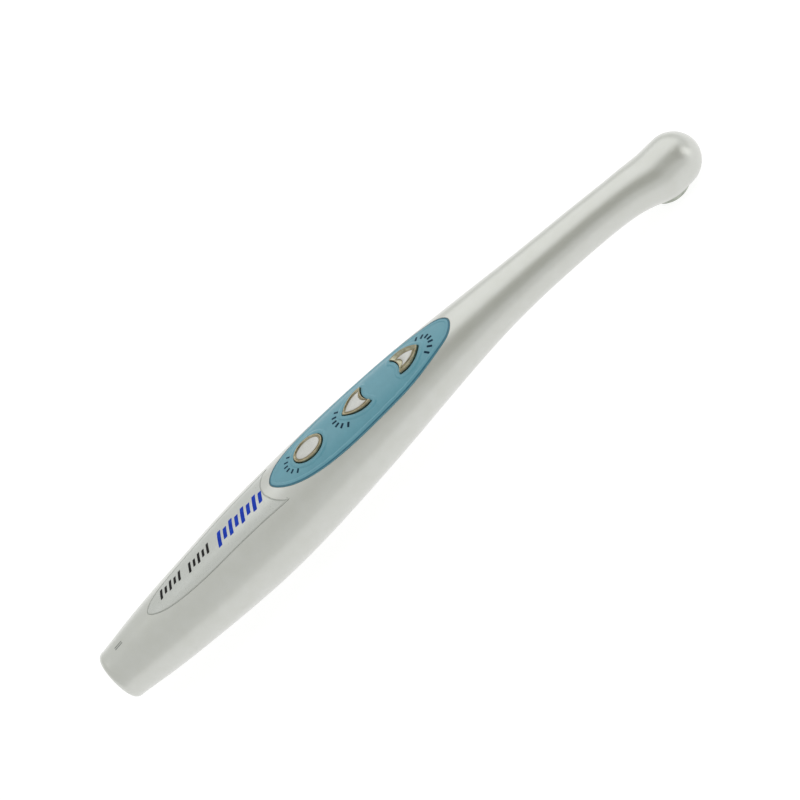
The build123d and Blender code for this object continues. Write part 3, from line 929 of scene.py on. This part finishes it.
pearl = finish(
    "pearl_paint", (207, 208, 204), (204, 205, 200), (0.28, 0.34), 260, 9000,
    relief=0.012, Metallic=0.45, Coat_Weight=0.35, Coat_Roughness=0.18,
)
film_face = finish(
    "film_face", (203, 205, 202), (200, 202, 198), (0.26, 0.32), 300, 9000,
    relief=0.008, Metallic=0.35, Coat_Weight=0.5, Coat_Roughness=0.12,
)
panel_blue = finish(
    "panel_blue", (97, 156, 173), (94, 152, 169), (0.34, 0.4), 400, 7000,
    relief=0.01, Coat_Weight=0.3, Coat_Roughness=0.2,
)
plated = finish(
    "plated_bronze", (176, 166, 140), (146, 134, 108), (0.24, 0.36), 900, 12000,
    relief=0.01, Metallic=1.0,
)
# A lighter, glossier copy of the plated metal, used only on the sloping inner wall of each button frame:
# painted reflection that makes the slope brighter than the rest of the frame.
slope_painted_reflection = finish(
    "plated_slope_painted_reflection", (184, 181, 160), (150, 147, 124), (0.14, 0.22), 900, 12000,
    relief=0.01, Metallic=1.0,
)
pearl_white = finish(
    "pearl_white", (206, 206, 203), (198, 198, 195), (0.26, 0.34), 500, 9000,
    relief=0.008, Metallic=0.2, Coat_Weight=0.5, Coat_Roughness=0.12,
)
rim_metal = finish(
    "rim_metal", (194, 199, 188), (158, 163, 152), (0.24, 0.34), 700, 9000, relief=0.01, Metallic=0.2
)
ink_blue = finish("ink_blue", (16, 66, 190), (8, 48, 172), (0.45, 0.55), Specular_IOR_Level=0.15)
ink_black = finish("ink_black", (30, 28, 28), (16, 16, 18), (0.45, 0.55), Specular_IOR_Level=0.15)
ink_navy = finish("ink_navy", (12, 54, 76), (6, 40, 60), (0.45, 0.55), Specular_IOR_Level=0.15)
ink_grey = finish("ink_grey", (128, 132, 128), (114, 118, 114), (0.4, 0.5))
# A darker blue for the line of painted shade just inside the panel's edge.
panel_edge_shade_blue = finish("panel_edge_shade_blue", (50, 110, 132), (42, 98, 120), (0.3, 0.4))
film_line = finish("film_line", (182, 185, 180), (170, 174, 169), (0.35, 0.45))

fine_panel = resample(shifted(panel_outline(), -PANEL_GAP), 0.12)
fine_buttons = [resample(button_outline(b[0]), 0.1) for b in BUTTONS]

make_upper_shell(pearl)
make_lower_shell(pearl)
make_tail_cap(pearl)
make_panel(panel_blue)
make_film(film_face)
for button in BUTTONS:
    make_button(*button, plated, slope_painted_reflection, pearl_white)
make_window(rim_metal)

# A darker blue line just inside the panel's edge: painted shade where the rim of the panel falls into
# shadow.
panel_edge = shifted(panel_outline(), -0.2)
thin_layer("panel_edge_painted_shade", [(panel_edge, shifted(panel_edge, -0.3))], panel_top, panel_edge_shade_blue, "panel_blue")

print_blue = row_of_bars(46.2, -0.45, 8, 2.15, (4.3, 1.3), 1.25, 0.42)
print_black = row_of_bars(24.9, 1.15, 5, 1.7, (3.0, 0.9), 0.85, 0.35)
print_black += row_of_bars(35.3, 0.35, 5, 1.7, (3.0, 0.9), 0.85, 0.35)
film_face_height = under_roof(FILM_SUNK)
film_edge = shifted(film_outline(), -0.1)
thin_layer("film_border", [(film_edge, shifted(film_edge, -0.22))], film_face_height, film_line, "film")
thin_layer("film_corner", [circle(66.3, 0.42, 24) + (0, -6.25)], film_face_height, film_line, "film")
thin_layer("film_marks_blue", print_blue, film_face_height, ink_blue, "film")
thin_layer("film_marks_black", print_black, film_face_height, ink_black, "film")

power_at, mirror_at, capture_at = (button[1] for button in BUTTONS)
ticks = arc_of_ticks(power_at, 0.0, (7.6, 4.4), 138, 222, 6, (0.5, 1.25))
ticks += arc_of_ticks(mirror_at, -0.3, (7.3, 4.2), 138, 228, 6, (0.6, 1.45))
ticks += arc_of_ticks(capture_at, -0.3, (7.8, 3.8), -52, 50, 7, (0.6, 1.45))
thin_layer("panel_ticks", ticks, panel_top, ink_navy, "panel_blue")

tail_bars = [stroke(7.4, 0.2 + 0.3 * way, 0.28, 2.7, 0) for way in (1, -1)]
thin_layer("tail_mark", tail_bars, under_roof(0), ink_grey, "pearl_shell")

INSIDE = {
    "switch_body": finish("switch_body", (40, 40, 42), (28, 28, 30), (0.45, 0.6)),
    "switch_plunger": finish("switch_plunger", (214, 206, 180), (200, 190, 160), (0.4, 0.5)),
    "circuit_board": finish(
        "solder_mask", (34, 118, 72), (24, 98, 58), (0.25, 0.35), 700, 5000, relief=0.02
    ),
    "chip_black": finish("chip_black", (36, 37, 39), (26, 27, 29), (0.5, 0.65), 900, 12000, relief=0.01),
    "steel": finish(
        "nickel_steel", (196, 198, 200), (168, 170, 172), (0.18, 0.32), 800, Metallic=1.0
    ),
    "ceramic": finish("tan_ceramic", (196, 168, 132), (176, 148, 112), (0.4, 0.55)),
    "connector_plastic": finish("nylon", (232, 226, 204), (218, 210, 184), (0.4, 0.55)),
    "socket_plastic": finish("socket_plastic", (44, 44, 46), (32, 32, 34), (0.4, 0.55), relief=0.01),
    "gold_contact": finish(
        "gold_flash", (236, 206, 122), (214, 180, 96), (0.14, 0.26), 800, Metallic=1.0
    ),
    "wire_cover": finish("wire_cover", (96, 96, 104), (78, 78, 86), (0.5, 0.65)),
    "gasket_rubber": finish("gasket_rubber", (30, 30, 30), (20, 20, 20), (0.6, 0.75)),
    "led_lens": finish("led_resin", (250, 240, 170), (238, 224, 140), (0.2, 0.3), Coat_Weight=0.5),
    "sensor_face": finish("sensor_face", (70, 78, 100), (52, 58, 82), (0.12, 0.2), Coat_Weight=0.6),
    "flex_film": finish(
        "amber_flex", (222, 158, 66), (204, 138, 48), (0.25, 0.35), 700, Coat_Weight=0.4
    ),
    "window_glass": finish(
        "window_glass", (206, 220, 208), (196, 212, 200), (0.03, 0.06), 900, 5000,
        Transmission_Weight=0.85, IOR=1.5, Coat_Weight=0.6, Coat_Roughness=0.03,
    ),
    "lens_glass": finish(
        "lens_glass", (226, 232, 240), (216, 224, 236), (0.02, 0.05), 900, 5000,
        Transmission_Weight=0.8, IOR=1.6, Coat_Weight=0.6, Coat_Roughness=0.03,
    ),
    "filter_glass": finish(
        "filter_glass", (150, 206, 204), (136, 196, 196), (0.04, 0.08), 900, 5000,
        Transmission_Weight=0.7, IOR=1.5,
    ),
}
INSIDE.update(pearl_shell=pearl, film=film_face, panel_blue=panel_blue, plated_rim=plated)
INSIDE.update(pearl_cap=pearl_white, rim_metal=rim_metal)
for entry in frame["record"]["subparts"]:
    node = frame["nodes"][entry["node"]]
    for place in node.material_slots:
        place.material = INSIDE[entry["material_slot"]]


# ---- floor, light and camera


def floor_piece():
    """A wide white floor that glows a little, so that hardly a shadow shows on it."""
    mesh = bpy.data.meshes.new("floor")
    side = 3.0
    corners = [(-side, -side, 0), (side, -side, 0), (side, side, 0), (-side, side, 0)]
    mesh.from_pydata(corners, [], [(0, 1, 2, 3)])
    white = bpy.data.materials.new("floor_white")
    white.use_nodes = True
    shader = white.node_tree.nodes["Principled BSDF"]
    shader.inputs["Base Color"].default_value = (0.3, 0.3, 0.3, 1)
    shader.inputs["Roughness"].default_value = 0.9
    shader.inputs["Emission Color"].default_value = (1, 1, 1, 1)
    shader.inputs["Emission Strength"].default_value = 0.82
    piece = piece_of("floor", mesh, white)
    piece.location.z = -0.0002


def softbox(name, azimuth, elevation, distance, size, power, tilt=0.0):
    """A rectangular light that looks at the middle of the handpiece; angles in degrees."""
    light = bpy.data.lights.new(name, "AREA")
    light.shape = "RECTANGLE"
    light.size, light.size_y = size
    light.energy = power
    lamp = bpy.data.objects.new(name, light)
    back = direction(azimuth, elevation)
    lamp.matrix_world = Matrix.Translation(back * distance) @ facing(back, tilt)
    bpy.context.scene.collection.objects.link(lamp)


def facing(back, roll):
    """A rotation whose Z axis is the given direction, turned by roll degrees about it."""
    right = Vector((0, 0, 1)).cross(back).normalized()
    up = back.cross(right)
    basis = Matrix((right, up, back)).transposed()
    return (basis @ Matrix.Rotation(math.radians(roll), 3, "Z")).to_4x4()


VIEW_AZIMUTH = 5.0
VIEW_ELEVATION = 45.5
AXIS_ON_SCREEN = 44.08
VIEW_DISTANCE = 0.576
AIM = (0.00135, 0.00096, 0.01145)


def make_camera():
    """A long lens, rolled so that the handpiece climbs to the right."""
    back = direction(VIEW_AZIMUTH, VIEW_ELEVATION)
    level_frame = facing(back, 0)
    axis = level_frame.to_3x3().transposed() @ Vector((1, 0, 0))
    roll = math.degrees(math.atan2(axis.y, axis.x)) - AXIS_ON_SCREEN
    data = bpy.data.cameras.new("camera")
    data.lens = 100
    data.clip_start = 0.01
    camera = bpy.data.objects.new("camera", data)
    camera.matrix_world = Matrix.Translation(Vector(AIM) + back * VIEW_DISTANCE) @ facing(back, roll)
    bpy.context.scene.collection.objects.link(camera)
    bpy.context.scene.camera = camera


DARK_SIDE = (43.0, 50.0)
DARK_SPREAD = (37.0, 16.0)
ROOM_LIGHT = (0.75, 0.76, 0.74, 1)
DARK_LIGHT = (0.17, 0.17, 0.12, 1)


def make_world():
    """A white studio that is darker round one direction, in front of and above the handpiece."""
    world = bpy.data.worlds.new("studio")
    world.use_nodes = True
    tree = world.node_tree
    place = tree.nodes.new("ShaderNodeTexCoord")
    toward = tree.nodes.new("ShaderNodeVectorMath")
    toward.operation = "DOT_PRODUCT"
    toward.inputs[1].default_value = direction(*DARK_SIDE)
    tree.links.new(place.outputs["Generated"], toward.inputs[0])
    wide, narrow = (math.cos(math.radians(angle)) for angle in DARK_SPREAD)
    shade = tree.nodes.new("ShaderNodeMapRange")
    shade.interpolation_type = "SMOOTHSTEP"
    shade.inputs["From Min"].default_value = wide
    shade.inputs["From Max"].default_value = narrow
    tree.links.new(toward.outputs["Value"], shade.inputs["Value"])
    colour = two_colours(tree, shade.outputs["Result"], ROOM_LIGHT[:3], DARK_LIGHT[:3])
    tree.links.new(colour, tree.nodes["Background"].inputs["Color"])
    bpy.context.scene.world = world


def direction(azimuth, elevation):
    """The direction from the middle towards an azimuth and elevation in degrees."""
    a, e = math.radians(azimuth), math.radians(elevation)
    return Vector((math.sin(a) * math.cos(e), -math.cos(a) * math.cos(e), math.sin(e)))


floor_piece()
make_world()
softbox("back_box", 142, 56, 0.9, (1.2, 1.1), 2.6)
softbox("right_box", 66, 16, 0.9, (0.35, 0.6), 0.75)
make_camera()
bpy.context.scene.view_settings.view_transform = "Standard"
